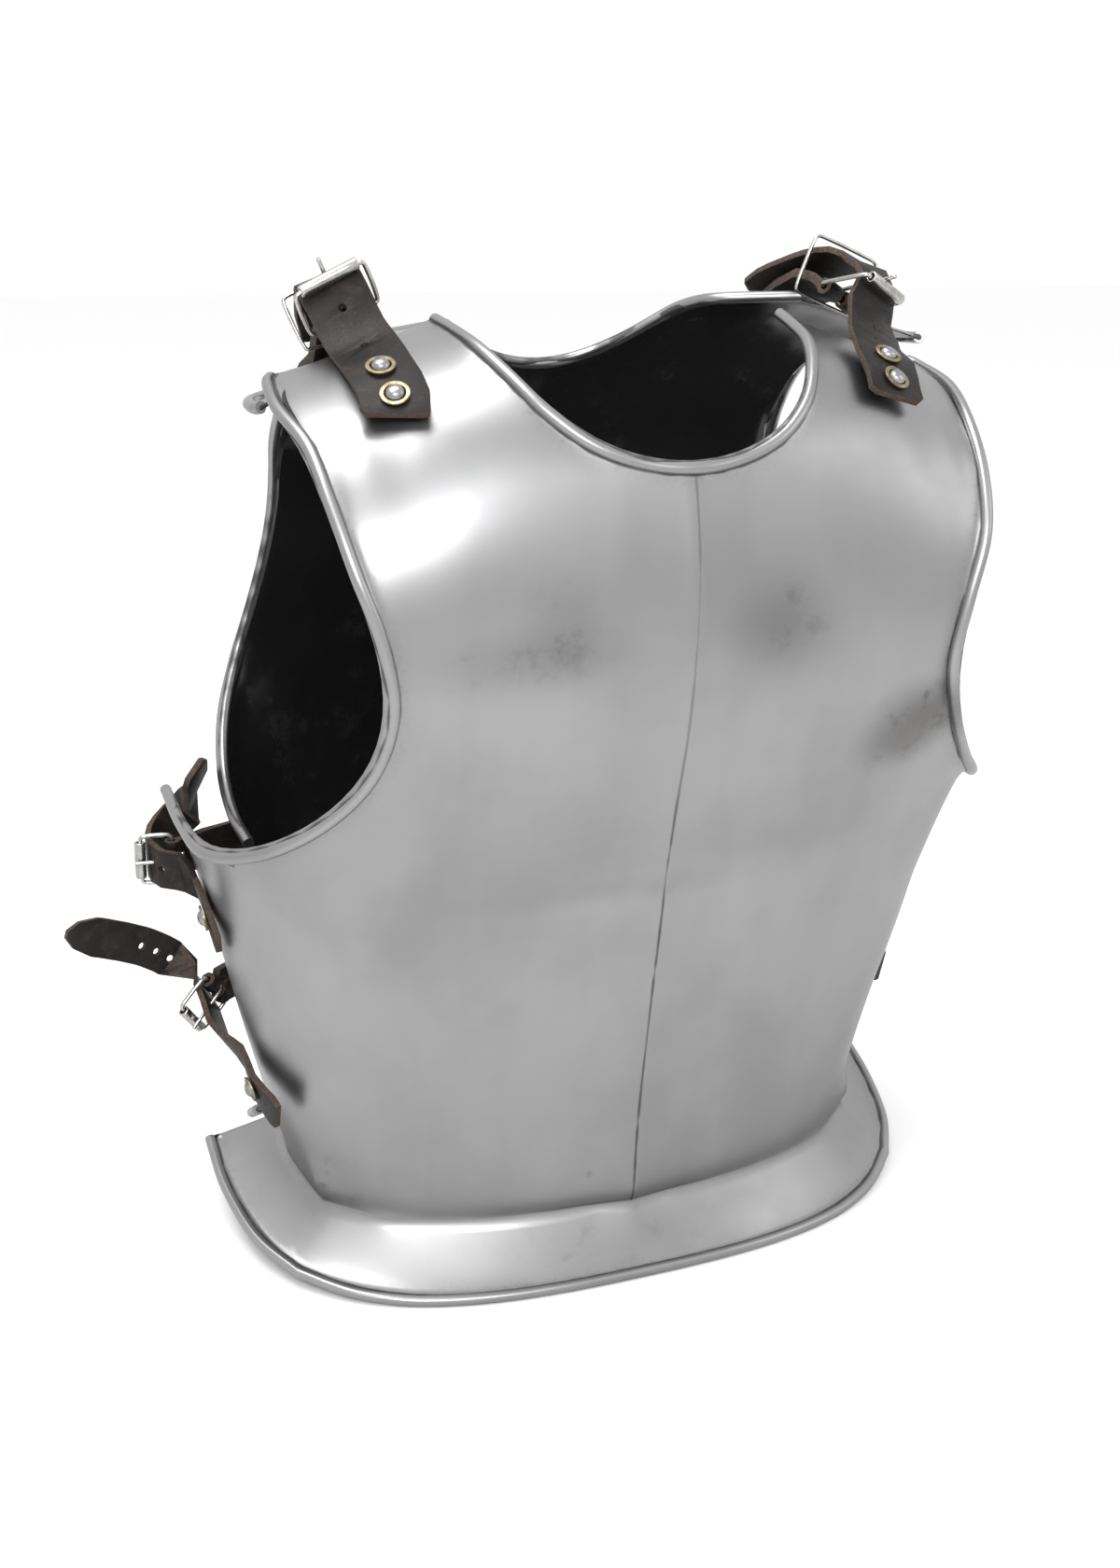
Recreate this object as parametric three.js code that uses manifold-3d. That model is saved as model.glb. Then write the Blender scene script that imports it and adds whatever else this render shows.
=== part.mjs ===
// Steel cuirass: a breastplate and a backplate joined by leather straps with roller buckles.
// Millimetres, +Z up. The breast faces -Y and +X is the wearer's left. It stands on its waist flanges.
import * as THREE from "three";
import { mergeVertices } from "three/addons/utils/BufferGeometryUtils.js";
import Module from "manifold-3d";

const wasm = await Module();
wasm.setup();

// ---- driving sizes ----
const SHEET = 1.5;                  // thickness of the steel plates
const ROLL = 2.8;                   // radius of the wired, rolled edges
const REAR_DEPTH = 150;             // depth of the section past the sides, so that they run nearly straight
const WAIST_Z = 28;                 // sharp crease between body and flange, at the middle
const RISE_FADE = 170;              // height above the crease at which the sections are level again
const SETTLE_Z = 390;               // from here up the shoulders settle unevenly
const SETTLE_FADE = 60;
const ROLL_PROUD = 1;               // how far the rolls stand out of the face
const FLOOR_Z = -0.9;               // the lowest rolls are worn flat here, to stand on
const BACK_SHIFT = 5;               // the backplate sits a little to the wearer's left

const STRAP = 3;                    // leather thickness
const FOLD = 4.6;                   // thickness of the folded buckle straps
const SHOULDER_WIDTH = 29;
const SIDE_WIDTH = 20;
const HOLE = 4;                     // punched hole in a strap
const WIRE = 1.5;                   // radius of the buckle wire
const PRONG = 1.15;                 // radius of the buckle prong
const EYE = 4.3;                    // outside radius of the leather wrapped round the hinge bar
const ROLLER_IN = 1.85;
const ROLLER_OUT = 3.1;
const GAP = 0.35;                   // clearance between touching pieces
const BEDDING = 1;                  // the stiff straps bed on the curved plates at their middle

// ---- the plates' sections, from the waist up ----
// width: half width; depth: middle to face; middle: the section's centre along Y; n: squareness
// rise: how much the waist climbs over its reach, from the middle line towards the sides
// sideEdge: Y of the plate's side edges, at the waist and at the armhole
// lean, drop: how the shoulders settle, by a share of X and by the square of X in hundreds
const BREAST = {
  facing: -1,
  shiftX: 0,
  lean: 0,
  drop: 0,
  rise: 18,
  reach: 116,
  sideEdge: [44, 44],
  sections: [
    { z: 28, width: 157, depth: 71.5, middle: 0, n: 2.3 },
    { z: 36, width: 162, depth: 75, middle: 0, n: 2.2 },
    { z: 50, width: 166, depth: 75, middle: 0, n: 2.2 },
    { z: 80, width: 173, depth: 77, middle: 0, n: 2.3 },
    { z: 120, width: 181, depth: 82, middle: 0, n: 2.45 },
    { z: 175, width: 189, depth: 91, middle: 0, n: 2.8 },
    { z: 240, width: 207, depth: 102, middle: 0, n: 3.2 },
    { z: 300, width: 229, depth: 116, middle: 0, n: 4.6 },
    { z: 350, width: 228, depth: 121, middle: 0, n: 4.6 },
    { z: 400, width: 195, depth: 104, middle: -9, n: 3.6 },
    { z: 440, width: 161, depth: 72, middle: -19, n: 2.6 },
    { z: 449, width: 133, depth: 58, middle: -20, n: 2.8 },
    { z: 457, width: 108, depth: 44, middle: -21, n: 2.8 },
    { z: 464, width: 86, depth: 9, middle: -21, n: 2.8 },
  ],
  // neckline and armhole as seen from the front (x, z) and from the side (y, z)
  neck: [[0, 410], [57, 410], [70, 446], [86, 464]],
  armhole: [
    [44, 236], [-10, 231], [-59, 236], [-104.5, 274], [-116.3, 320], [-114.4, 369], [-76, 420], [-19, 440],
  ],
  flange: { width: 191, depth: 147, middle: 49, n: 2.8, rise: 34 },
};
const BACK = {
  facing: 1,
  shiftX: BACK_SHIFT,
  lean: 0.075,
  drop: 3,
  rise: 26,
  reach: 58,
  sideEdge: [54, -12],
  sections: [
    { z: 28, width: 146, depth: 108, middle: 0, n: 2.3 },
    { z: 36, width: 150, depth: 113, middle: 0, n: 2.3 },
    { z: 50, width: 153, depth: 115, middle: 0, n: 2.35 },
    { z: 80, width: 157, depth: 118, middle: 0, n: 2.4 },
    { z: 175, width: 171, depth: 122, middle: 0, n: 2.8 },
    { z: 240, width: 184, depth: 122, middle: 0, n: 3.1 },
    { z: 300, width: 194, depth: 116, middle: 0, n: 3.2 },
    { z: 350, width: 196, depth: 112, middle: 0, n: 3.1 },
    { z: 400, width: 190, depth: 107, middle: -5, n: 3.2 },
    { z: 446, width: 169, depth: 72, middle: -9, n: 2.8 },
    { z: 453, width: 146, depth: 58, middle: -2, n: 2.8 },
    { z: 460, width: 124, depth: 42, middle: 5, n: 2.8 },
    { z: 465, width: 109, depth: 9, middle: 9, n: 2.8 },
  ],
  neck: [[0, 432], [53, 432], [62, 484], [109, 465]],
  armhole: [[-12, 224], [44, 233], [84, 276], [96, 331], [90, 391], [55, 436], [-9, 446]],
  flange: { width: 169, depth: 98, middle: 54, n: 2.5, rise: 43 },
};

// ---- how the plates are divided ----
const NECK_COLUMNS = 7;             // columns from the middle to the neck corner
const SHOULDER_COLUMNS = 3;         // and from there to the shoulder's outer corner
const NECK_SHARE = 0.62;            // share of the half plate's columns that ends on the neckline
const BORDER = 0.03;                // narrow column beside the side and armhole edges
const SIDE_LEVELS = [0, 0.03, 0.08, 0.24, 0.43, 0.62, 0.82, 0.97, 1];
const ARMHOLE_ROWS = 12;
const MIDDLE_SHARE = 0.3;           // height on the middle line where the armhole rows begin
const ROLL_SIDES = 5;
const MAP_SPREAD = 150;             // millimetres to a radian where the outline is laid out flat
const TOP_HOLD = 3;                 // how closely the grid keeps to the top edge's spacing
const TIP_DIP = 1.6;                // how steeply the rows climb to the armhole's lower edge
const TIP_FADE = 0.35;              // share of the height over which that fades out above it

const smooth = (t) => {
  const c = THREE.MathUtils.clamp(t, 0, 1);
  return c * c * (3 - 2 * c);
};
const vector = ([x, y, z]) => new THREE.Vector3(x, y, z);

// one column of a section table at height z, without overshoot between the rows
function column(rows, name, z) {
  const last = rows.length - 1;
  const level = THREE.MathUtils.clamp(z, rows[0].z, rows[last].z);
  let k = rows.findIndex((row) => row.z >= level);
  k = Math.max(k - 1, 0);
  const slope = (i) => (rows[i + 1][name] - rows[i][name]) / (rows[i + 1].z - rows[i].z);
  const tangent = (i) => {
    if (i === 0) return slope(0);
    if (i === last) return slope(last - 1);
    const a = slope(i - 1);
    const b = slope(i);
    return a * b > 0 ? (2 * a * b) / (a + b) : 0;
  };
  const span = rows[k + 1].z - rows[k].z;
  const t = (level - rows[k].z) / span;
  const bump = (1 - t) * tangent(k) - t * tangent(k + 1);
  const turn = bump - (1 - 2 * t) * slope(k);
  return rows[k][name] * (1 - t) + rows[k + 1][name] * t + t * (1 - t) * span * turn;
}

function sectionAt(plate, z) {
  const at = (name) => column(plate.sections, name, z);
  return { width: at("width"), depth: at("depth"), middle: at("middle"), n: at("n") };
}

// the medial ridge and the two chest muscles stand out of the breast; a groove runs down the back
function relief(plate, x, z) {
  const side = Math.abs(x);
  if (plate === BACK) return -2.5 * Math.max(0, 1 - side / 16);
  const ridge = 2.6 * Math.max(0, 1 - side / 20);
  const under = 216 + 14 * ((side - 88) / 50) ** 2;
  const above = z - under;
  const across = smooth((side - 14) / 34) * (1 - smooth((side - 118) / 46));
  const chest = 4 * smooth((above + 8) / 22) * (1 - smooth((above - 30) / 120)) * across;
  return ridge + chest;
}

// a point of the plate's middle surface; the angle turns from the middle line to the plate's side
function facePoint(plate, angle, z) {
  const s = sectionAt(plate, z);
  const sin = Math.sin(angle);
  const cos = Math.cos(angle);
  const depth = cos < 0 ? REAR_DEPTH : s.depth;
  const reach = (Math.abs(sin / s.width) ** s.n + Math.abs(cos / depth) ** s.n) ** (-1 / s.n);
  const forward = reach * cos;
  const behind = THREE.MathUtils.clamp((s.depth - forward) / plate.reach, 0, 1);
  const lift = plate.rise * (1 - smooth((z - WAIST_Z) / RISE_FADE)) * behind ** 1.5;
  const stand = relief(plate, reach * sin, z) * smooth(forward / s.depth * 1.6);
  return new THREE.Vector3(
    reach * sin + plate.shiftX,
    s.middle + plate.facing * (forward + stand),
    z + lift,
  );
}

// a plate's shoulders have settled: both a little, and one more than the other
function settle(plate, point) {
  const share = smooth((point.z - SETTLE_Z) / SETTLE_FADE);
  const tilt = plate.lean * point.x - plate.drop * (point.x / 100) ** 2;
  return point.setZ(point.z + share * tilt);
}

// the angle at which a section has a given distance across (x) or along (y)
function angleFromX(plate, x, z) {
  const s = sectionAt(plate, z);
  const forward = s.depth * Math.max(0, 1 - Math.abs(x / s.width) ** s.n) ** (1 / s.n);
  return Math.atan2(x, forward);
}
function angleFromY(plate, y, z) {
  const s = sectionAt(plate, z);
  const forward = plate.facing * (y - s.middle);
  const depth = forward < 0 ? REAR_DEPTH : s.depth;
  const x = s.width * Math.max(0, 1 - Math.abs(forward / depth) ** s.n) ** (1 / s.n);
  return Math.atan2(x, forward);
}

// a plate's outline laid out flat, with the angle times MAP_SPREAD across and the height up
function outline(plate) {
  const flat = (angle, z) => new THREE.Vector3(angle * MAP_SPREAD, z, 0);
  const [[, armholeZ]] = plate.armhole;
  const side = SIDE_LEVELS.map((share) => {
    const z = THREE.MathUtils.lerp(WAIST_Z, armholeZ, share);
    const [waistY, armholeY] = plate.sideEdge;
    return flat(angleFromY(plate, THREE.MathUtils.lerp(waistY, armholeY, share), z), z);
  });
  const armhole = new THREE.CatmullRomCurve3(
    plate.armhole.map(([y, z]) => flat(angleFromY(plate, y, z), z)),
    false,
    "centripetal",
  ).getSpacedPoints(ARMHOLE_ROWS);
  const [a, b, c, d] = plate.neck.map(([x, z]) => new THREE.Vector2(x, z));
  const neckline = new THREE.CubicBezierCurve(a, b, c, d).getSpacedPoints(24);
  const neck = new THREE.CatmullRomCurve3(
    neckline.map((p) => flat(angleFromX(plate, p.x, p.y), p.y)),
  ).getSpacedPoints(NECK_COLUMNS);
  const corner = armhole[ARMHOLE_ROWS];
  return { side, armhole, neck, corner };
}

// columns as shares of the half width, and the edge point each one ends on at the top
function topEdge({ neck, corner }) {
  const columns = neck.map((point, i) => ({ share: (NECK_SHARE * i) / NECK_COLUMNS, point }));
  const shares = [];
  for (let i = 1; i < SHOULDER_COLUMNS; i += 1) {
    shares.push(NECK_SHARE + ((1 - NECK_SHARE) * i) / SHOULDER_COLUMNS);
  }
  shares.unshift(NECK_SHARE + BORDER);
  shares.push(1 - BORDER, 1);
  for (const share of shares) {
    const t = (share - NECK_SHARE) / (1 - NECK_SHARE);
    columns.push({ share, point: neck[NECK_COLUMNS].clone().lerp(corner, t) });
  }
  return columns;
}

// rows as shares of the height, each with its ends on the middle line and on the side or armhole
function sideEdge(plate, { side, armhole }) {
  const [[, neckZ]] = plate.neck;
  const middle = (share) => new THREE.Vector3(0, THREE.MathUtils.lerp(WAIST_Z, neckZ, share), 0);
  const rows = side.map((point, j) => {
    const share = MIDDLE_SHARE * SIDE_LEVELS[j];
    return { share, point, middle: middle(share) };
  });
  const last = ARMHOLE_ROWS;
  for (let j = 1; j <= last; j += 1) {
    const share = MIDDLE_SHARE + ((1 - MIDDLE_SHARE) * j) / last;
    if (j === last) {
      const near = 1 - 0.012;
      const point = armhole[last].clone().lerp(armhole[last - 1], 0.2);
      rows.push({ share: near, point, middle: middle(near) });
    }
    rows.push({ share, point: armhole[j], middle: middle(share) });
  }
  return rows;
}

// the half plate's grid of points: rows from the middle line to the outer edge, spaced near the top
// as the neckline and shoulder are, then mirrored
function plateGrid(plate) {
  const edges = outline(plate);
  const top = topEdge(edges);
  const rows = sideEdge(plate, edges);
  const topStart = top[0].point;
  const corner = top[top.length - 1].point;
  const half = top.map(({ share: s, point: crest }) => {
    const points = rows.map(({ share: t, point: outer, middle }) => {
      const near = t ** TOP_HOLD;
      const above = t > MIDDLE_SHARE ? 1 - smooth((t - MIDDLE_SHARE) / TIP_FADE) : 1;
      const tip = Math.min(smooth(t / MIDDLE_SHARE), above);
      const across = THREE.MathUtils.lerp(s, crest.x / corner.x, near);
      const rise = crest.y - THREE.MathUtils.lerp(topStart.y, corner.y, s);
      const height = THREE.MathUtils.lerp(middle.y, outer.y, s ** (1 + TIP_DIP * tip)) + rise * near;
      return facePoint(plate, (outer.x * across) / MAP_SPREAD, height);
    });
    return flangeRows(plate, points[0], s).concat(points);
  });
  const mirrored = half.slice(1).reverse().map((points) => points.map((p) => mirror(plate, p)));
  const grid = mirrored.concat(half);
  return plate.facing < 0 ? grid : grid.reverse();
}

const mirror = (plate, p) => new THREE.Vector3(2 * plate.shiftX - p.x, p.y, p.z);

// the flange's outer edge and a row just inside it, below one point of the waist crease
function flangeRows(plate, crease, share) {
  const { width, depth, middle, n, rise } = plate.flange;
  const rim = [];
  for (let i = 0; i <= 40; i += 1) {
    const angle = (Math.PI / 2) * (i / 40);
    const sin = Math.sin(angle);
    const cos = Math.cos(angle);
    const reach = ((sin / width) ** n + (cos / depth) ** n) ** (-1 / n);
    const z = rise * Math.max(0, 1 - (reach * cos) / depth) ** 1.5;
    rim.push(new THREE.Vector3(reach * sin + plate.shiftX, middle + plate.facing * reach * cos, z));
  }
  const edge = new THREE.CatmullRomCurve3(rim).getPointAt(share);
  return [edge, edge.clone().lerp(crease, 0.14)];
}

// ---- closed solids from points ----
function meshFrom(vertices, triangles) {
  const geometry = new THREE.BufferGeometry();
  const places = vertices.flatMap((p) => [p.x, p.y, p.z]);
  geometry.setAttribute("position", new THREE.Float32BufferAttribute(places, 3));
  geometry.setIndex(triangles.flat());
  return geometry;
}

const quad = (a, b, c, d) => [[a, b, c], [a, c, d]];

// a skin through rings of points, capped at both ends or closed on itself
function loft(rings, closed = false) {
  const sides = rings[0].length;
  const vertices = rings.flat();
  const triangles = [];
  const turns = closed ? rings.length : rings.length - 1;
  for (let i = 0; i < turns; i += 1) {
    const near = i * sides;
    const far = ((i + 1) % rings.length) * sides;
    for (let k = 0; k < sides; k += 1) {
      const next = (k + 1) % sides;
      triangles.push(...quad(near + k, near + next, far + next, far + k));
    }
  }
  if (!closed) {
    const end = (rings.length - 1) * sides;
    for (let k = 1; k < sides - 1; k += 1) {
      triangles.push([0, k + 1, k], [end, end + k, end + k + 1]);
    }
  }
  return meshFrom(vertices, triangles);
}

// sheet steel on a grid of points, with its edges rounded or rolled around a wire; each cell of the
// grid is split along its shorter diagonal
function sheet(grid, rolledAt) {
  const columns = grid.length;
  const rows = grid[0].length;
  const at = (i, j) => grid[THREE.MathUtils.clamp(i, 0, columns - 1)][THREE.MathUtils.clamp(j, 0, rows - 1)];
  const normals = grid.map((line, i) => line.map((_, j) => {
    const across = at(i + 1, j).clone().sub(at(i - 1, j));
    const up = at(i, j + 1).clone().sub(at(i, j - 1));
    return across.cross(up).normalize();
  }));
  const loop = [];
  for (let i = 0; i < columns - 1; i += 1) loop.push([i, 0]);
  for (let j = 0; j < rows - 1; j += 1) loop.push([columns - 1, j]);
  for (let i = columns - 1; i > 0; i -= 1) loop.push([i, rows - 1]);
  for (let j = rows - 1; j > 0; j -= 1) loop.push([0, j]);

  const vertices = [];
  const add = (p) => vertices.push(p) - 1;
  const offset = (by) => grid.map(
    (line, i) => line.map((p, j) => p.clone().addScaledVector(normals[i][j], by)),
  );
  const face = offset(SHEET / 2);
  const back = offset(-SHEET / 2);
  const rims = loop.map(([i, j], k) => {
    const [ia, ja] = loop[(k + loop.length - 1) % loop.length];
    const [ib, jb] = loop[(k + 1) % loop.length];
    const along = grid[ib][jb].clone().sub(grid[ia][ja]).normalize();
    const out = along.cross(normals[i][j]).normalize();
    const rolled = rolledAt(i, j);
    const radius = rolled ? ROLL : SHEET / 2;
    const proud = rolled ? ROLL_PROUD : 0;
    const from = Math.PI - Math.asin((SHEET / 2 - proud) / radius);
    const to = -(Math.PI - Math.asin((SHEET / 2 + proud) / radius));
    const ring = [];
    for (let m = 0; m <= ROLL_SIDES; m += 1) {
      const turn = THREE.MathUtils.lerp(from, to, m / ROLL_SIDES);
      ring.push(
        grid[i][j]
          .clone()
          .addScaledVector(normals[i][j], proud + radius * Math.sin(turn))
          .addScaledVector(out, radius * Math.cos(turn)),
      );
    }
    face[i][j] = ring[0];
    back[i][j] = ring[ROLL_SIDES];
    return ring.slice(1, ROLL_SIDES);
  });
  const faceIds = face.map((line) => line.map(add));
  const backIds = back.map((line) => line.map(add));
  const rimIds = rims.map((ring, k) => {
    const [i, j] = loop[k];
    return [faceIds[i][j], ...ring.map(add), backIds[i][j]];
  });
  const cell = (a, b, c, d) => {
    const across = vertices[a].distanceTo(vertices[c]);
    return across <= vertices[b].distanceTo(vertices[d]) ? quad(a, b, c, d) : quad(b, c, d, a);
  };
  const triangles = [];
  for (let i = 0; i < columns - 1; i += 1) {
    for (let j = 0; j < rows - 1; j += 1) {
      triangles.push(...cell(faceIds[i][j], faceIds[i + 1][j], faceIds[i + 1][j + 1], faceIds[i][j + 1]));
      triangles.push(...cell(backIds[i][j], backIds[i][j + 1], backIds[i + 1][j + 1], backIds[i + 1][j]));
    }
  }
  rimIds.forEach((ring, k) => {
    const next = rimIds[(k + 1) % rimIds.length];
    for (let m = 0; m < ROLL_SIDES; m += 1) {
      triangles.push(...quad(ring[m], ring[m + 1], next[m + 1], next[m]));
    }
  });
  for (const p of vertices) p.z = Math.max(p.z, FLOOR_Z);
  return meshFrom(vertices, triangles);
}

// a whole plate: rolled along the flange, the armholes and the neck, plain at the sides and shoulders
function plateGeometry(plate) {
  const grid = plateGrid(plate).map((line) => line.map((point) => settle(plate, point)));
  const lastColumn = grid.length - 1;
  const lastRow = grid[0].length - 1;
  const armholeRow = 2 + SIDE_LEVELS.length - 1;
  const middleColumn = lastColumn / 2;
  return sheet(grid, (i, j) => {
    if (j === 0) return true;
    if (j === lastRow) return Math.abs(i - middleColumn) <= NECK_COLUMNS || i === 0 || i === lastColumn;
    return j >= armholeRow;
  });
}

// ---- strap sets ----
// Each set: a billet riveted to the breastplate, and a folded buckle strap riveted to the backplate.
// A row lies on a plate's face (on, with x or y, and z), hangs free (at),
// or rounds the buckle's roller at an angle from the bar's direction (turn). across: over the width.
// roller: centre of the buckle's roller; axis: along it; bar: from the roller to the frame's hinge bar
// past: how far the prong's tip lies past the roller; over: the side of the roller it lies on
// keeper: a wire loop round both straps
const SETS = [
  {
    name: "right shoulder",
    width: SHOULDER_WIDTH,
    across: [0.93, 0, 0.37],
    roller: [-134.4, -22, 483.2],
    axis: [0.9, 0, 0.43],
    bar: [10.7, 5, -17],
    past: 7.5,
    over: 1,
    billet: [
      { on: BREAST, x: -124, z: 430.5 },
      { on: BREAST, x: -121.8, z: 437, rivet: "lower", washer: true },
      { on: BREAST, x: -123.4, z: 445.5, rivet: "upper", washer: true },
      { at: [-124.2, -41.5, 455.3], hole: true },
      { at: [-126.5, -32, 461] },
      { at: [-129.2, -24.5, 470], hole: true },
      { turn: 40 },
      { at: [-133, -12, 483] },
      { at: [-130.5, 0, 477] },
      { at: [-127, 14, 468.5] },
      { at: [-122, 28, 462] },
      { at: [-118, 40, 455] },
    ],
    tip: "clipped",
    fold: [
      { at: [-123, -8, 467] },
      { at: [-122, 5, 462.5] },
      { on: BACK, x: -117, z: 446 },
      { on: BACK, x: -117, z: 439, rivet: "rear" },
      { on: BACK, x: -117, z: 432 },
    ],
    keeper: { at: [-126.5, 4, 467.9], across: [0.93, 0, 0.37], out: [-0.35, 0.3, 0.88], width: 38, height: 26 },
  },
  {
    name: "left shoulder",
    width: SHOULDER_WIDTH,
    across: [0.93, 0, -0.37],
    roller: [137, -32, 477],
    axis: [0.83, 0.36, -0.42],
    bar: [-8, 24, -8],
    past: 5,
    over: 1,
    billet: [
      { on: BREAST, x: 111, z: 431 },
      { on: BREAST, x: 112.5, z: 437.5, rivet: "lower", washer: true },
      { on: BREAST, x: 116.5, z: 445.5, rivet: "upper", washer: true },
      { at: [120, -54, 454.5], hole: true },
      { at: [124.5, -44, 459], across: [0.89, 0.1, -0.38], hole: true },
      { at: [129, -32, 466.5], across: [0.86, 0.2, -0.4] },
      { turn: 12 },
      { at: [135, -16, 486] },
      { at: [130, -4, 488] },
      { at: [125, 10, 485] },
      { at: [120, 24, 480] },
      { at: [117, 38, 475] },
      { at: [115, 50, 468] },
    ],
    tip: "clipped",
    fold: [
      { at: [124, -2, 474] },
      { at: [122, 9, 476] },
      { on: BACK, x: 120, z: 461 },
      { on: BACK, x: 119, z: 453.5, rivet: "rear" },
      { on: BACK, x: 119, z: 446 },
    ],
    keeper: { at: [126.7, -2, 480.3], across: [0.93, 0, -0.37], out: [0.37, 0, 0.93], width: 38, height: 29 },
  },
  {
    name: "upper right side",
    width: SIDE_WIDTH,
    across: [0, 0, 1],
    roller: [-218, 54, 196],
    axis: [0, 0, 1],
    bar: [16, -2, -1],
    past: 3,
    over: -1,
    billet: [
      { on: BREAST, y: 0, z: 169, side: -1 },
      { on: BREAST, y: 13, z: 179, side: -1, rivet: "front", washer: true },
      { on: BREAST, y: 27, z: 189, side: -1 },
      { at: [-202.5, 38, 194] },
      { at: [-208.5, 44.5, 193.5], hole: true },
      { turn: 0 },
      { at: [-211, 66, 197] },
      { at: [-202, 75, 203] },
      { at: [-191, 76, 211] },
      { at: [-189, 68, 222], across: [0.3, 0.5, 0.6] },
      { at: [-188, 57, 232], across: [0.5, 0.6, 0.3] },
      { at: [-190, 48, 243], across: [0.6, 0.7, 0.2] },
    ],
    tip: "clipped",
    fold: [
      { at: [-193, 56, 196] },
      { at: [-184, 62, 196] },
      { on: BACK, y: 72, z: 196, side: -1 },
      { on: BACK, y: 82, z: 196, side: -1, rivet: "rear" },
      { on: BACK, y: 91, z: 196, side: -1 },
    ],
  },
  {
    name: "lower right side",
    width: SIDE_WIDTH,
    across: [-0.51, -0.38, 0.77],
    roller: [-198, 46, 108],
    axis: [0.51, 0.38, -0.77],
    bar: [13.7, 5.6, 13.4],
    past: 4,
    over: 1,
    billet: [
      { on: BREAST, y: -24, z: 84, side: -1 },
      { on: BREAST, y: -6, z: 92, side: -1, rivet: "front", washer: true },
      { on: BREAST, y: 12, z: 100, side: -1 },
      { at: [-185, 24, 105] },
      { at: [-187, 36, 106.5] },
      { at: [-188, 47, 113.5] },
      { at: [-193, 57.5, 124] },
      { at: [-206, 57, 139], across: [0.3, 0.1, 0.9], hole: true },
      { at: [-213, 55.5, 144.5], across: [0.35, 0.15, 0.9], hole: true },
      { at: [-220.5, 53.5, 149.5], across: [0.4, 0.2, 0.9], hole: true },
      { at: [-240, 48, 159], across: [0.35, 0.2, 0.9] },
      { at: [-258, 42, 166], across: [0.3, 0.2, 0.9] },
    ],
    tip: "pointed",
    fold: [
      { at: [-176, 58, 121], across: [-0.3, -0.2, 0.9] },
      { at: [-168, 66, 119], across: [0, 0, 1] },
      { on: BACK, y: 76, z: 117, side: -1 },
      { on: BACK, y: 86, z: 116, side: -1, rivet: "rear" },
      { on: BACK, y: 95, z: 115, side: -1 },
    ],
  },
];
for (const [name, z] of [["upper left side", 195], ["lower left side", 105]]) {
  const out = column(BREAST.sections, "width", z);
  SETS.push({
    name,
    width: SIDE_WIDTH,
    across: [0, 0, 1],
    roller: [out + 11, 48, z],
    axis: [0, 0, 1],
    bar: [-7, 18, 0],
    past: 3,
    over: -1,
    billet: [
      { on: BREAST, y: -10, z, side: 1 },
      { on: BREAST, y: 4, z, side: 1, rivet: "front" },
      { on: BREAST, y: 18, z, side: 1 },
      { on: BREAST, y: 32, z, side: 1 },
      { turn: 70 },
      { at: [out + 11, 60, z] },
      { at: [out + 11, 72, z] },
      { at: [out + 5, 86, z] },
      { at: [out - 2, 98, z] },
    ],
    tip: "clipped",
    fold: [
      { at: [out - 5, 74, z] },
      { on: BACK, y: 82, z, side: 1 },
      { on: BACK, y: 91, z, side: 1, rivet: "rear" },
      { on: BACK, y: 100, z, side: 1 },
    ],
  });
}

// a point of a plate's middle surface at a true height, with the way out of the plate there
function seat({ on: plate, x, y, z, side }) {
  const face = (turn, height) => settle(plate, facePoint(plate, turn, height));
  let level = z;
  let angle = 0;
  for (let pass = 0; pass < 6; pass += 1) {
    angle = y === undefined ? angleFromX(plate, x - plate.shiftX, level) : side * angleFromY(plate, y, level);
    level += z - face(angle, level).z;
  }
  const point = face(angle, level);
  const around = face(angle + 0.02, level).sub(point);
  const up = face(angle, level + 1).sub(point);
  return { point, normal: around.cross(up).normalize().multiplyScalar(-plate.facing) };
}

// where a strap rounds the roller, at an angle from the way to the hinge bar
function aroundRoller({ roller, toBar, side }, degrees) {
  const angle = THREE.MathUtils.degToRad(degrees);
  const radius = ROLLER_OUT + 2 * GAP + STRAP / 2;
  return roller.clone()
    .addScaledVector(toBar, radius * Math.cos(angle))
    .addScaledVector(side, radius * Math.sin(angle));
}

// a strap's centre line, with the direction over its width at every row
function strapLine(rows, across, thickness, buckle) {
  const spots = rows.map((row) => {
    if (row.at) return { point: vector(row.at), across: row.across };
    if (row.turn !== undefined) {
      return { point: aroundRoller(buckle, row.turn), across: buckle.axis.toArray() };
    }
    const { point, normal } = seat(row);
    return { point: point.addScaledVector(normal, SHEET / 2 + BEDDING + thickness / 2), normal };
  });
  const curve = new THREE.CatmullRomCurve3(spots.map(({ point }) => point), false, "centripetal");
  const widths = [];
  spots.forEach((spot, i) => {
    const along = curve.getTangent(i / (spots.length - 1));
    const wide = spot.normal ? along.clone().cross(spot.normal) : vector(spot.across ?? across);
    wide.addScaledVector(along, -wide.dot(along)).normalize();
    if (wide.dot(vector(across)) < 0) wide.negate();
    widths.push(wide);
  });
  return { curve, widths, rows };
}

function lineAt({ curve, widths }, share) {
  const place = share * (widths.length - 1);
  const i = Math.min(Math.floor(place), widths.length - 2);
  const along = curve.getTangent(share);
  const wide = widths[i].clone().lerp(widths[i + 1], place - i);
  wide.addScaledVector(along, -wide.dot(along)).normalize();
  return { point: curve.getPoint(share), along, wide, out: along.clone().cross(wide) };
}

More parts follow.
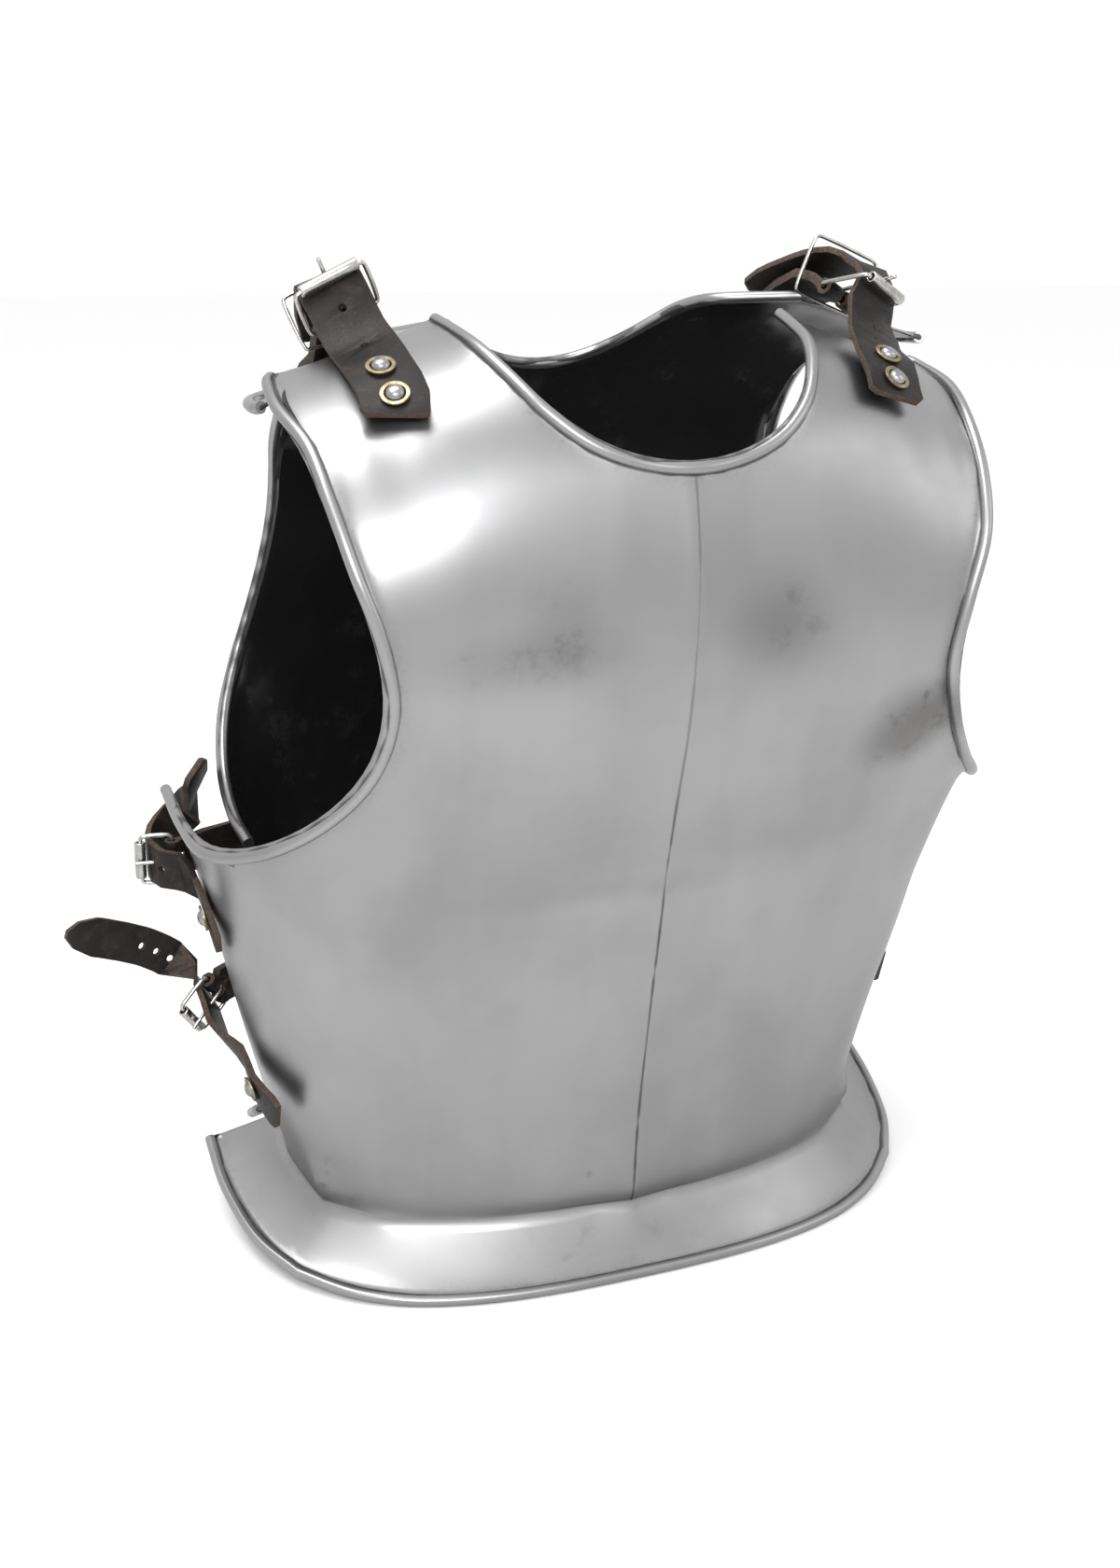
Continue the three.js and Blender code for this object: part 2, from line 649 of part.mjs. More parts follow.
// a leather strap along its centre line; the tip narrows over the last stretch
const TIPS = {
  square: [[1, 1]],
  clipped: [[0.975, 1], [1, 0.66]],
  pointed: [[0.93, 1], [0.975, 0.7], [1, 0.2]],
};
function strapGeometry(line, width, thickness, tip) {
  const spans = (line.rows.length - 1) * 2;
  const places = [[0, 0.8], [0.02, 1]];
  for (let i = 1; i < spans; i += 1) {
    const share = i / spans;
    if (share < TIPS[tip][0][0] - 0.01) places.push([share, 1]);
  }
  places.push(...TIPS[tip]);
  return loft(places.map(([share, narrow]) => {
    const { point, wide, out } = lineAt(line, share);
    const corner = (a, b) => point.clone().addScaledVector(wide, a).addScaledVector(out, b);
    const w = (width / 2) * narrow;
    const h = thickness / 2;
    return [corner(w, -h), corner(w, h), corner(-w, h), corner(-w, -h)];
  }));
}

// ---- round solids and wire ----
// one closed body: equal points joined and empty triangles dropped
function closed(geometry) {
  const bare = new THREE.BufferGeometry();
  bare.setAttribute("position", geometry.getAttribute("position").clone());
  bare.setIndex(geometry.index ? geometry.index.clone() : null);
  const merged = mergeVertices(bare, 1e-3);
  const ids = merged.index.array;
  const kept = [];
  for (let i = 0; i < ids.length; i += 3) {
    const [a, b, c] = ids.slice(i, i + 3);
    if (a !== b && b !== c && c !== a) kept.push(a, b, c);
  }
  merged.setIndex(kept);
  return merged;
}

// a turned shape of [radius, height] steps, with its axis through a point
function turned(steps, sides, point, axis) {
  const geometry = new THREE.LatheGeometry(steps.map(([x, y]) => new THREE.Vector2(x, y)), sides);
  geometry.applyQuaternion(new THREE.Quaternion().setFromUnitVectors(new THREE.Vector3(0, 1, 0), axis));
  geometry.translate(point.x, point.y, point.z);
  return closed(geometry);
}

const rod = (radius, length, sides, point, axis) => turned(
  [[0, -length / 2], [radius, -length / 2], [radius, length / 2], [0, length / 2]], sides, point, axis,
);
const tube = (inner, outer, length, sides, point, axis) => turned([
  [inner, -length / 2],
  [outer, -length / 2],
  [outer, length / 2],
  [inner, length / 2],
  [inner, -length / 2],
], sides, point, axis);

// a closed loop of wire: a rounded rectangle of width over u and height over v
const LOOP_SIDES = 5;
function wireLoop(centre, u, v, width, height, corner, radius) {
  const normal = u.clone().cross(v);
  const rings = [];
  for (const [sx, sy, from] of [[1, 1, 0], [-1, 1, 1], [-1, -1, 2], [1, -1, 3]]) {
    for (const turn of [0, 0.5, 1]) {
      const angle = (from + turn) * (Math.PI / 2);
      const out = u.clone().multiplyScalar(Math.cos(angle)).addScaledVector(v, Math.sin(angle));
      const point = centre.clone()
        .addScaledVector(u, sx * (width / 2 - corner))
        .addScaledVector(v, sy * (height / 2 - corner))
        .addScaledVector(out, corner);
      const ring = [];
      for (let k = 0; k < LOOP_SIDES; k += 1) {
        const phase = (2 * Math.PI * k) / LOOP_SIDES;
        const aside = point.clone().addScaledVector(normal, radius * Math.cos(phase));
        ring.push(aside.addScaledVector(out, radius * Math.sin(phase)));
      }
      rings.push(ring);
    }
  }
  return loft(rings, true);
}

// ---- cutting and joining ----
function body(geometry) {
  const { index, attributes } = closed(geometry);
  return new wasm.Manifold(new wasm.Mesh({
    numProp: 3,
    vertProperties: Float32Array.from(attributes.position.array),
    triVerts: Uint32Array.from(index.array),
  }));
}
function fromBody(solid) {
  const { vertProperties, triVerts } = solid.getMesh();
  const geometry = new THREE.BufferGeometry();
  geometry.setAttribute("position", new THREE.BufferAttribute(Float32Array.from(vertProperties), 3));
  geometry.setIndex(Array.from(triVerts));
  return geometry;
}

// ---- the pieces of one strap set ----

// the prong wraps round the hinge bar and runs on, straight, to its tip
function prongGeometry({ bar, toBar, side, reach }, { past, over }, radius) {
  const bend = WIRE + 2 * GAP + PRONG;
  const rise = bend + ((ROLLER_OUT + GAP + PRONG - bend) * (reach + past)) / reach + 0.2;
  const spot = (ahead, aside) => (
    bar.clone().addScaledVector(toBar, -ahead).addScaledVector(side, over * aside)
  );
  const points = [285, 230, 180, 130, 90].map((degrees) => {
    const angle = THREE.MathUtils.degToRad(degrees);
    return spot(bend * Math.cos(angle), bend * Math.sin(angle));
  });
  points.push(spot(reach * 0.4, THREE.MathUtils.lerp(bend, rise, 0.35)), spot(reach + past, rise));
  const path = new THREE.CatmullRomCurve3(points, false, "centripetal");
  const shape = new THREE.Shape().absarc(0, 0, radius, 0, 2 * Math.PI);
  const along = { steps: 9, curveSegments: 3, bevelEnabled: false, extrudePath: path };
  return new THREE.ExtrudeGeometry(shape, along);
}

const group = new THREE.Group();
const steel = { color: 0xb9babb, metalness: 1, roughness: 0.32 };
const hide = { color: 0x2a211d, metalness: 0, roughness: 0.55 };
const nickel = { color: 0xc9c7c2, metalness: 1, roughness: 0.22 };
const brass = { color: 0xb59a5c, metalness: 1, roughness: 0.35 };

function addPiece(name, geometry, look) {
  const mesh = new THREE.Mesh(geometry, new THREE.MeshStandardMaterial(look));
  mesh.name = name.replaceAll(" ", "_");
  group.add(mesh);
}

// a domed rivet on a strap, inside a washer where it has one
const DOME = [[0, 0], [4.6, 0], [4.5, 1.1], [3.3, 2.9], [0, 3.9]];
const WASHER_IN = 4.95;
const WASHER_OUT = 7.1;
const WASHER_THICK = 1;
const DOME_SIDES = 8;
const WASHER_SIDES = 9;
function addRivets(name, line, thickness) {
  line.rows.forEach((row, i) => {
    if (!row.rivet) return;
    const { point, out } = lineAt(line, i / (line.rows.length - 1));
    const { normal } = seat(row);
    if (out.dot(normal) < 0) out.negate();
    point.addScaledVector(out, thickness / 2 + 2 * GAP);
    addPiece(`${name} ${row.rivet} rivet`, turned(DOME, DOME_SIDES, point, out), steel);
    if (!row.washer) return;
    const middle = point.clone().addScaledVector(out, WASHER_THICK / 2);
    const washer = tube(WASHER_IN, WASHER_OUT, WASHER_THICK, WASHER_SIDES, middle, out);
    addPiece(`${name} ${row.rivet} washer`, washer, brass);
  });
}

const FRAME_ROOM = 2.4;             // how much wider than its strap a buckle is inside
const FRAME_CORNER = 2.6;
const ROLLER_SHORT = 3.4;           // how much shorter than the frame's inside its roller is
const KEEPER_WIRE = 1.2;
const KEEPER_CORNER = 3;
const FOLD_NARROW = 1;              // the folded strap is this much narrower than the billet
const SLOT_ROOM = 3;                // the fold's slot for the prong, wider and longer than its eye
const SLOT_LENGTH = 5;
const ROUND_SIDES = 8;
function addSet(set) {
  const { name, width } = set;
  const roller = vector(set.roller);
  const axis = vector(set.axis).normalize();
  const toBar = vector(set.bar);
  toBar.addScaledVector(axis, -toBar.dot(axis));
  const reach = toBar.length();
  toBar.normalize();
  const bar = roller.clone().addScaledVector(toBar, reach);
  const side = axis.clone().cross(toBar);
  const buckle = { roller, bar, axis, toBar, side, reach };
  const inner = width + FRAME_ROOM;

  const prong = closed(prongGeometry(buckle, set, PRONG));
  const clearance = body(prongGeometry(buckle, set, PRONG + GAP));

  const billetLine = strapLine(set.billet, set.across, STRAP, buckle);
  let billet = body(strapGeometry(billetLine, width, STRAP, set.tip)).subtract(clearance);
  set.billet.forEach((row, i) => {
    if (!row.hole) return;
    const { point, out } = lineAt(billetLine, i / (set.billet.length - 1));
    billet = billet.subtract(body(rod(HOLE / 2, 3 * STRAP, ROUND_SIDES, point, out)));
  });
  addPiece(`${name} billet`, fromBody(billet), hide);
  addRivets(`${name} billet`, billetLine, STRAP);

  const foldRows = [{ at: bar.clone().addScaledVector(toBar, 1).toArray() }, ...set.fold];
  const foldLine = strapLine(foldRows, set.axis, FOLD, buckle);
  const slot = new THREE.BoxGeometry(2 * EYE + SLOT_ROOM, SLOT_LENGTH, 2 * EYE + SLOT_ROOM);
  slot.applyQuaternion(new THREE.Quaternion().setFromUnitVectors(new THREE.Vector3(0, 1, 0), axis));
  slot.translate(bar.x, bar.y, bar.z);
  const foldWidth = width - FOLD_NARROW;
  const fold = body(strapGeometry(foldLine, foldWidth, FOLD, "clipped"))
    .add(body(rod(EYE, foldWidth, ROUND_SIDES, bar, axis)))
    .subtract(body(rod(WIRE + GAP + 0.1, inner + 2 * WIRE, ROUND_SIDES, bar, axis)))
    .subtract(body(slot));
  addPiece(`${name} buckle strap`, fromBody(fold), hide);
  addRivets(`${name} buckle strap`, foldLine, FOLD);

  const middle = roller.clone().lerp(bar, 0.5);
  addPiece(
    `${name} buckle frame`,
    wireLoop(middle, axis, toBar, inner + 2 * WIRE, reach, FRAME_CORNER, WIRE),
    nickel,
  );
  const sleeve = tube(ROLLER_IN, ROLLER_OUT, inner - ROLLER_SHORT, ROUND_SIDES, roller, axis);
  addPiece(`${name} buckle roller`, sleeve, nickel);
  addPiece(`${name} buckle prong`, prong, nickel);
  if (set.keeper) {
    const { at, across, out, width: wide, height } = set.keeper;
    const flat = vector(across).normalize();
    const upright = vector(out).normalize();
    const loop = wireLoop(vector(at), flat, upright, wide, height, KEEPER_CORNER, KEEPER_WIRE);
    addPiece(`${name} keeper`, loop, nickel);
  }
}

addPiece("breastplate", plateGeometry(BREAST), steel);
addPiece("backplate", plateGeometry(BACK), steel);
for (const set of SETS) addSet(set);

const bounds = new THREE.Box3().setFromObject(group);
const foot = bounds.getCenter(new THREE.Vector3()).setZ(bounds.min.z);
for (const mesh of group.children) mesh.geometry.translate(-foot.x, -foot.y, -foot.z);
export default group;
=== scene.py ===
import math

import bpy
import numpy as np
from mathutils import Matrix, Vector, kdtree
from mathutils.bvhtree import BVHTree


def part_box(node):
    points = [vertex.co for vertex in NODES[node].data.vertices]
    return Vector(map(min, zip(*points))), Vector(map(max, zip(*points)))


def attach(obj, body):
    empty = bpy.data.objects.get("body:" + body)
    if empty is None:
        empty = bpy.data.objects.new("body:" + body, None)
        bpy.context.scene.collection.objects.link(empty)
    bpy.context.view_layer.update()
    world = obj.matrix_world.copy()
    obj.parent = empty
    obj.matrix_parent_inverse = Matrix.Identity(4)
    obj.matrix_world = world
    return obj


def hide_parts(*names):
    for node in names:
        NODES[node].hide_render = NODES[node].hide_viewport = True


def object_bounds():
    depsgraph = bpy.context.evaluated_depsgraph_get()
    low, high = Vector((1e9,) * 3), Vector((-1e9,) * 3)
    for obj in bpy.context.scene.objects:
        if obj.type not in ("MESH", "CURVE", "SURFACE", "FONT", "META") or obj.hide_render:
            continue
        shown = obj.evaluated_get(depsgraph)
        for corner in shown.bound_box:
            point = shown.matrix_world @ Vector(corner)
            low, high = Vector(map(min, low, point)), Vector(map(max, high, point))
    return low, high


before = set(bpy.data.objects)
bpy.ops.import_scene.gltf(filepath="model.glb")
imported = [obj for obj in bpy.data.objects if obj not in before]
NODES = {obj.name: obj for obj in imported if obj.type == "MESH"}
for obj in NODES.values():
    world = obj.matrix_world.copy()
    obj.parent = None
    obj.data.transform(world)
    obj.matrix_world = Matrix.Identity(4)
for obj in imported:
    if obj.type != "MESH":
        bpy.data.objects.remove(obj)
cad_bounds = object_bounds()
MM = 0.001
ROLL_RADIUS = 2.85 * MM   # of the rolled edges
ROLL_EDGE = 3.7 * MM      # an edge shorter than this runs round a roll, a longer one along it
UNDER_SKIN = 0.02 * MM    # how far under a face its thickness is felt for
SHEET_LIMIT = 3.2 * MM    # thicker than this is a roll or a cut edge, not the sheet
LEATHER_LIMIT = 6 * MM    # the same for the straps
LEAST_WALL = 1.0 * MM     # the least distance that is aimed at between a plate's two skins
SKIN_REACH = 2.5 * MM     # how far off the other skin is looked for
CREASE_HELD = 2.2 * MM    # this close to a crease or ridge nothing is evened out
STEEL, LINING, EDGE = 0, 1, 2   # a plate's material slots


# ---- shader nodes -------------------------------------------------------------------------------

def link(tree, a, b):
    tree.links.new(a, b)


def node(tree, kind, **settings):
    made = tree.nodes.new(kind)
    for key, value in settings.items():
        setattr(made, key, value)
    return made


def noise(tree, coords, scale, detail=3.0, roughness=0.5, stretch=None):
    source = coords
    if stretch:
        mapping = node(tree, "ShaderNodeMapping")
        mapping.inputs["Scale"].default_value = stretch
        link(tree, coords, mapping.inputs["Vector"])
        source = mapping.outputs["Vector"]
    made = node(tree, "ShaderNodeTexNoise")
    made.inputs["Scale"].default_value = scale
    made.inputs["Detail"].default_value = detail
    made.inputs["Roughness"].default_value = roughness
    link(tree, source, made.inputs["Vector"])
    return made.outputs["Fac"]


def fade(tree, value, low, high, to_low=0.0, to_high=1.0):
    made = node(tree, "ShaderNodeMapRange", interpolation_type="SMOOTHSTEP", clamp=True)
    for name, number in (("From Min", low), ("From Max", high), ("To Min", to_low), ("To Max", to_high)):
        made.inputs[name].default_value = number
    link(tree, value, made.inputs["Value"])
    return made.outputs["Result"]


def math_node(tree, operation, a, b):
    made = node(tree, "ShaderNodeMath", operation=operation)
    for socket, value in zip(made.inputs, (a, b)):
        if isinstance(value, (int, float)):
            socket.default_value = value
        else:
            link(tree, value, socket)
    return made.outputs["Value"]


# two values added, each by its own share
def weighted(tree, a, share_a, b, share_b):
    first = math_node(tree, "MULTIPLY", a, share_a)
    return math_node(tree, "ADD", first, math_node(tree, "MULTIPLY", b, share_b))


def mix_colour(tree, factor, a, b):
    made = node(tree, "ShaderNodeMix", data_type="RGBA")
    for name, value in (("Factor", factor), ("A", a), ("B", b)):
        coloured = name != "Factor"
        socket = [s for s in made.inputs if s.name == name and (s.type == "RGBA") == coloured][0]
        if isinstance(value, tuple):
            socket.default_value = (*value, 1.0)
        elif isinstance(value, (int, float)):
            socket.default_value = value
        else:
            link(tree, value, socket)
    return [s for s in made.outputs if s.type == "RGBA"][0]


def bump(tree, height, distance, strength=1.0, normal=None):
    made = node(tree, "ShaderNodeBump")
    made.inputs["Distance"].default_value = distance
    made.inputs["Strength"].default_value = strength
    link(tree, height, made.inputs["Height"])
    if normal is not None:
        link(tree, normal, made.inputs["Normal"])
    return made.outputs["Normal"]


# a new material with its shader and the coordinates that its patterns sit on
def material(name):
    made = bpy.data.materials.new(name)
    made.use_nodes = True
    tree = made.node_tree
    shader = tree.nodes["Principled BSDF"]
    coords = node(tree, "ShaderNodeTexCoord").outputs["Object"]
    return made, tree, shader, coords


def attribute(tree, name):
    return node(tree, "ShaderNodeAttribute", attribute_name=name).outputs["Fac"]


# ---- shared effects -----------------------------------------------------------------------------

def new_group(name, inputs, outputs):
    group = bpy.data.node_groups.new(name, "ShaderNodeTree")
    for socket, kind, value in inputs:
        made = group.interface.new_socket(socket, in_out="INPUT", socket_type=kind)
        if value is not None:
            made.default_value = value
    for socket, kind in outputs:
        group.interface.new_socket(socket, in_out="OUTPUT", socket_type=kind)
    return group, group.nodes.new("NodeGroupInput").outputs, group.nodes.new("NodeGroupOutput").inputs


def place_group(tree, group, **values):
    made = tree.nodes.new("ShaderNodeGroup")
    made.node_tree = group
    for name, value in values.items():
        if isinstance(value, (int, float)):
            made.inputs[name].default_value = value
        else:
            link(tree, value, made.inputs[name])
    return made.outputs


# fine polishing grain with cloudy handling marks: a height, a shade and a gloss mask
def build_polish_group():
    group, given, result = new_group(
        "polishing_grain",
        [("Vector", "NodeSocketVector", None), ("Clouds", "NodeSocketFloat", 1.0)],
        [("Height", "NodeSocketFloat"), ("Shade", "NodeSocketFloat"), ("Gloss", "NodeSocketFloat")],
    )
    vector = given["Vector"]
    grain = noise(group, vector, 900.0, 4.0, 0.62, (1.0, 1.0, 0.35))
    speck = noise(group, vector, 2600.0, 2.0, 0.5)
    cloud = noise(group, vector, 9.0, 4.0, 0.55)
    streak = noise(group, vector, 26.0, 3.0, 0.5, (1.0, 1.0, 0.07))
    height = weighted(group, grain, 0.7, speck, 0.3)
    soft = fade(group, cloud, 0.36, 0.66)
    lines = fade(group, streak, 0.38, 0.7)
    both = weighted(group, soft, 0.65, lines, 0.35)
    link(group, height, result["Height"])
    link(group, math_node(group, "MULTIPLY", both, given["Clouds"]), result["Shade"])
    link(group, soft, result["Gloss"])
    return group


# tarnish that gathers in small blotches
def build_tarnish_group():
    group, given, result = new_group(
        "tarnish",
        [("Vector", "NodeSocketVector", None), ("Scale", "NodeSocketFloat", 60.0)],
        [("Mask", "NodeSocketFloat")],
    )
    made = node(group, "ShaderNodeTexNoise")
    made.inputs["Detail"].default_value = 6.0
    made.inputs["Roughness"].default_value = 0.66
    link(group, given["Vector"], made.inputs["Vector"])
    link(group, given["Scale"], made.inputs["Scale"])
    link(group, fade(group, made.outputs["Fac"], 0.5, 0.72), result["Mask"])
    return group


POLISH = build_polish_group()
TARNISH = build_tarnish_group()


# ---- finishes -----------------------------------------------------------------------------------

# a soft round patch on the plates: 1 at its middle, 0 at its edge
def patch(tree, coords, centre, size):
    mapping = node(tree, "ShaderNodeMapping", vector_type="POINT")
    mapping.inputs["Location"].default_value = [-c / s for c, s in zip(centre, size)]
    mapping.inputs["Scale"].default_value = [1 / s for s in size]
    link(tree, coords, mapping.inputs["Vector"])
    length = node(tree, "ShaderNodeVectorMath", operation="LENGTH")
    link(tree, mapping.outputs["Vector"], length.inputs[0])
    return fade(tree, length.outputs["Value"], 0.0, 1.0, 1.0, 0.0)


def plate_steel(name, dark_patches):
    made, tree, shader, coords = material(name)
    polish = place_group(tree, POLISH, Vector=coords, Clouds=1.0)
    blotch = place_group(tree, TARNISH, Vector=coords, Scale=70.0)["Mask"]
    fine = place_group(tree, TARNISH, Vector=coords, Scale=420.0)["Mask"]
    rim = attribute(tree, "rim")
    crease = attribute(tree, "crease")
    ridge = attribute(tree, "ridge")
    colour = mix_colour(tree, polish["Shade"], (0.40, 0.40, 0.405), (0.33, 0.33, 0.335))
    specks = math_node(tree, "ADD", math_node(tree, "MULTIPLY", fine, 0.5), 0.12)
    dirt = math_node(tree, "MULTIPLY", fade(tree, rim, 0.0, 9 * MM, 1.0, 0.0), specks)
    colour = mix_colour(tree, dirt, colour, (0.24, 0.225, 0.205))
    # painted shade: a near-black line in the crease where the plate runs into its rolled edge
    roll_crease_shade = fade(tree, rim, 0.4 * MM, 1.3 * MM, 1.0, 0.0)
    colour = mix_colour(tree, math_node(tree, "MULTIPLY", roll_crease_shade, 0.8), colour, (0.06, 0.057, 0.055))
    # painted shade along the flange's crease, darkest on the crease line itself
    crease_line_shade = fade(tree, crease, 0.0, 2.2 * MM, 0.45, 0.0)
    colour = mix_colour(tree, crease_line_shade, colour, (0.2, 0.2, 0.2))
    # painted shade along the ridge's line: dark below the chest and faint above it
    height = node(tree, "ShaderNodeSeparateXYZ")
    link(tree, coords, height.inputs["Vector"])
    line = fade(tree, ridge, 0.2 * MM, 1.3 * MM, 0.95, 0.0)
    line = math_node(tree, "MULTIPLY", line, fade(tree, height.outputs["Z"], 0.23, 0.30, 1.0, 0.5))
    colour = mix_colour(tree, line, colour, (0.1, 0.097, 0.094))
    uneven = math_node(tree, "ADD", math_node(tree, "MULTIPLY", blotch, 0.5), 0.6)
    # soft darker patches, broken up by the blotches; those on the breast are painted shade and painted
    # dark reflections
    for centre, size, depth in dark_patches:
        amount = math_node(tree, "MULTIPLY", patch(tree, coords, centre, size), depth)
        broken = math_node(tree, "MULTIPLY", amount, uneven)
        colour = mix_colour(tree, broken, colour, (0.16, 0.155, 0.15))
    link(tree, colour, shader.inputs["Base Color"])
    rough = fade(tree, polish["Gloss"], 0.0, 1.0, 0.33, 0.4)
    rough = math_node(tree, "ADD", rough, math_node(tree, "MULTIPLY", roll_crease_shade, 0.2))
    link(tree, rough, shader.inputs["Roughness"])
    shader.inputs["Metallic"].default_value = 1.0
    link(tree, bump(tree, polish["Height"], 0.05 * MM, 0.5), shader.inputs["Normal"])
    return made


def black_lacquer():
    made, tree, shader, coords = material("black_lacquer")
    drips = noise(tree, coords, 22.0, 2.0, 0.45, (1.0, 1.0, 0.6))
    peel = noise(tree, coords, 420.0, 2.0, 0.5)
    dust = place_group(tree, TARNISH, Vector=coords, Scale=40.0)["Mask"]
    dusty = math_node(tree, "MULTIPLY", dust, 0.1)
    colour = mix_colour(tree, dusty, (0.010, 0.0095, 0.0095), (0.05, 0.047, 0.045))
    link(tree, colour, shader.inputs["Base Color"])
    link(tree, fade(tree, dust, 0.0, 1.0, 0.16, 0.34), shader.inputs["Roughness"])
    broad = bump(tree, drips, 2.2 * MM, 0.7)
    link(tree, bump(tree, peel, 0.05 * MM, 0.4, broad), shader.inputs["Normal"])
    return made


def strap_leather():
    made, tree, shader, coords = material("strap_leather")
    grain = node(tree, "ShaderNodeTexVoronoi", feature="SMOOTH_F1")
    grain.inputs["Scale"].default_value = 900.0
    link(tree, coords, grain.inputs["Vector"])
    pores = noise(tree, coords, 1500.0, 3.0, 0.6)
    wear = place_group(tree, TARNISH, Vector=coords, Scale=120.0)["Mask"]
    clouds = noise(tree, coords, 45.0, 3.0, 0.5)
    shade = fade(tree, clouds, 0.35, 0.68)
    colour = mix_colour(tree, shade, (0.007, 0.0058, 0.0055), (0.016, 0.012, 0.0105))
    colour = mix_colour(tree, math_node(tree, "MULTIPLY", wear, 0.3), colour, (0.06, 0.045, 0.036))
    link(tree, colour, shader.inputs["Base Color"])
    link(tree, fade(tree, pores, 0.3, 0.7, 0.42, 0.6), shader.inputs["Roughness"])
    shader.inputs["Specular IOR Level"].default_value = 0.28
    height = weighted(tree, grain.outputs["Distance"], 0.6, pores, 0.4)
    link(tree, bump(tree, height, 0.18 * MM, 0.6), shader.inputs["Normal"])
    return made


def cut_leather():
    made, tree, shader, coords = material("cut_leather_edge")
    fibres = noise(tree, coords, 700.0, 4.0, 0.65)
    stain = noise(tree, coords, 60.0, 3.0, 0.5)
    colour = mix_colour(tree, fade(tree, fibres, 0.3, 0.7), (0.022, 0.015, 0.011), (0.085, 0.052, 0.032))
    colour = mix_colour(tree, fade(tree, stain, 0.45, 0.7, 0.0, 0.7), colour, (0.03, 0.022, 0.018))
    link(tree, colour, shader.inputs["Base Color"])
    shader.inputs["Roughness"].default_value = 0.75
    link(tree, bump(tree, fibres, 0.15 * MM, 0.7), shader.inputs["Normal"])
    return made


def bright_metal(name, light, dull, low, high, scale):
    made, tree, shader, coords = material(name)
    tone = noise(tree, coords, scale, 4.0, 0.6)
    spots = place_group(tree, TARNISH, Vector=coords, Scale=scale * 3.0)["Mask"]
    colour = mix_colour(tree, fade(tree, tone, 0.35, 0.7), light, dull)
    dark = tuple(0.35 * c for c in dull)
    colour = mix_colour(tree, math_node(tree, "MULTIPLY", spots, 0.45), colour, dark)
    link(tree, colour, shader.inputs["Base Color"])
    link(tree, fade(tree, tone, 0.3, 0.7, low, high), shader.inputs["Roughness"])
    shader.inputs["Metallic"].default_value = 1.0
    scratches = noise(tree, coords, 1400.0, 3.0, 0.6)
    link(tree, bump(tree, scratches, 0.03 * MM, 0.5), shader.inputs["Normal"])
    return made


# painted shade and painted dark reflections on the breast: centre, half size and depth
BREAST_PAINTED_SHADE = [
    ((-0.036, -0.135, 0.347), (0.036, 0.080, 0.030), 0.60),
    ((-0.060, -0.135, 0.334), (0.068, 0.080, 0.020), 0.50),
    ((0.066, -0.136, 0.342), (0.038, 0.080, 0.034), 0.90),
    ((0.118, -0.105, 0.440), (0.030, 0.040, 0.022), 0.45),
    ((0.150, -0.126, 0.290), (0.040, 0.080, 0.024), 1.40),
    ((0.138, -0.126, 0.276), (0.036, 0.080, 0.020), 1.10),
    ((-0.127, -0.046, 0.046), (0.040, 0.060, 0.030), 0.80),
    ((0.000, -0.130, 0.214), (0.110, 0.080, 0.010), 0.25),
    ((0.010, -0.100, 0.012), (0.120, 0.060, 0.026), 0.50),
    ((0.000, -0.096, 0.050), (0.003, 0.030, 0.003), 0.70),
]
BREAST_STEEL = plate_steel("breast_steel", BREAST_PAINTED_SHADE)
BACK_STEEL = plate_steel("back_steel", [((0.03, 0.13, 0.30), (0.09, 0.06, 0.05), 0.2)])
LACQUER = black_lacquer()
LEATHER = strap_leather()
CUT_EDGE = cut_leather()
NICKEL = bright_metal("buckle_nickel", (0.62, 0.61, 0.59), (0.42, 0.41, 0.39), 0.18, 0.32, 150.0)
RIVET = bright_metal("rivet_steel", (0.42, 0.42, 0.43), (0.28, 0.28, 0.29), 0.26, 0.38, 220.0)
BRASS = bright_metal("washer_brass", (0.42, 0.35, 0.22), (0.2, 0.15, 0.08), 0.3, 0.45, 220.0)


# ---- making pieces ------------------------------------------------------------------------------

def only(piece):
    bpy.ops.object.select_all(action="DESELECT")
    piece.select_set(True)
    bpy.context.view_layer.objects.active = piece


# a welded copy of a solid of the frame, ready for shaping
def welded_copy(name):
    only(NODES[name])
    bpy.ops.object.duplicate()
    piece = bpy.context.view_layer.objects.active
    for key in list(piece.keys()):
        del piece[key]
    piece.parent = None
    piece.matrix_world = Matrix.Identity(4)
    piece.name = piece.data.name = name + "_finish"
    only(piece)
    bpy.ops.object.mode_set(mode="EDIT")
    bpy.ops.mesh.select_all(action="SELECT")
    bpy.ops.mesh.remove_doubles(threshold=0.005 * MM)
    bpy.ops.object.mode_set(mode="OBJECT")
    piece.data.materials.clear()
    return piece


# joins the triangles of a copy in pairs, but never over an edge marked sharp
def join_quads(piece, degrees):
    only(piece)
    bpy.ops.object.mode_set(mode="EDIT")
    bpy.ops.mesh.select_all(action="SELECT")
    bpy.ops.mesh.tris_convert_to_quads(
        face_threshold=math.radians(degrees), shape_threshold=math.radians(140), sharp=True
    )
    bpy.ops.object.mode_set(mode="OBJECT")


